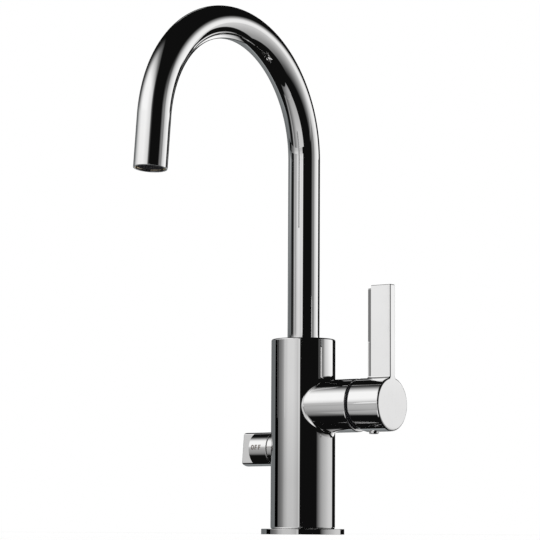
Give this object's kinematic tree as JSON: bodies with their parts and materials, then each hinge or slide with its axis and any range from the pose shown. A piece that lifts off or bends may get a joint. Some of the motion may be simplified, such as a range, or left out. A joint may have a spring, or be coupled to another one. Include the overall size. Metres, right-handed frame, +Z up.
{
  "type": "kitchen faucet",
  "caption": "Single-lever kitchen mixer with a high swivelling arch spout, a side lever and a turning shut-off knob, on a round base plate.",
  "frame": {"origin": "centre of the base plate's underside, on the deck plane", "axes": "+Z up along the body, the spout reaches to -Y, the lever is on +X, the shut-off knob on -X"},
  "size_m": [0.1379, 0.2344, 0.3982],
  "materials": {
    "chrome": "polished chrome plate",
    "brass": "turned brass",
    "black_plastic": "moulded, satin",
    "white_plastic": "moulded, satin",
    "rubber": "moulded seal rubber",
    "ceramic": "ground ceramic",
    "steel": "turned stainless steel"
  },
  "bodies": {
    "body": {"base_plate": "chrome", "base_gasket": "rubber", "mixer_body": "chrome", "thrust_washer": "white_plastic", "spout_bush": "black_plastic", "spout_stop_screw": "steel", "cartridge_base": "white_plastic", "cartridge_seals": "rubber", "cartridge_housing": "white_plastic", "fixed_disc": "ceramic", "retaining_nut": "black_plastic", "trim_dome": "chrome", "bezel_ring": "chrome", "valve_headwork": "brass", "valve_seal": "rubber", "valve_fixed_disc": "ceramic"},
    "spout": {"spout_tube": "chrome", "spout_nipple": "brass", "spout_o_rings": "rubber", "outlet_sleeve": "brass", "aerator_housing": "black_plastic", "aerator_insert": "black_plastic", "aerator_gasket": "rubber"},
    "rotor": {"stem_rotor": "white_plastic", "stem_pin": "steel"},
    "lever": {"lever_stem": "steel", "lever_handle": "chrome", "set_screw": "steel", "screw_plug": "chrome"},
    "mixing_disc": {"moving_disc": "ceramic", "disc_carrier": "white_plastic"},
    "knob": {"shutoff_knob": "chrome", "valve_spindle": "brass", "valve_moving_disc": "ceramic", "valve_o_ring": "rubber"}
  },
  "joints": [
    {"name": "spout_swivel", "type": "hinge", "parent": "body", "child": "spout", "pos_m": [0, 0, 0.15], "axis": [0, 0, 1], "range_deg": [-60, 60]},
    {"name": "lever_turn", "type": "hinge", "parent": "body", "child": "rotor", "pos_m": [0.055, 0, 0.0985], "axis": [1, 0, 0], "range_deg": [-45, 45]},
    {"name": "lever_lift", "type": "hinge", "parent": "rotor", "child": "lever", "pos_m": [0.055, 0, 0.0985], "axis": [0, 1, 0], "range_deg": [0, 20]},
    {"name": "disc_slide", "type": "slide", "parent": "rotor", "child": "mixing_disc", "axis": [0, 0, 1], "range_m": [0, 0.004]},
    {"name": "knob_turn", "type": "hinge", "parent": "body", "child": "knob", "pos_m": [-0.0266, 0, 0.0664], "axis": [-1, 0, 0], "range_deg": [0, 90]}
  ],
  "couplings": [
    {"joint": "disc_slide", "follows": "lever_lift", "m_per_rad": 0.011}
  ]
}
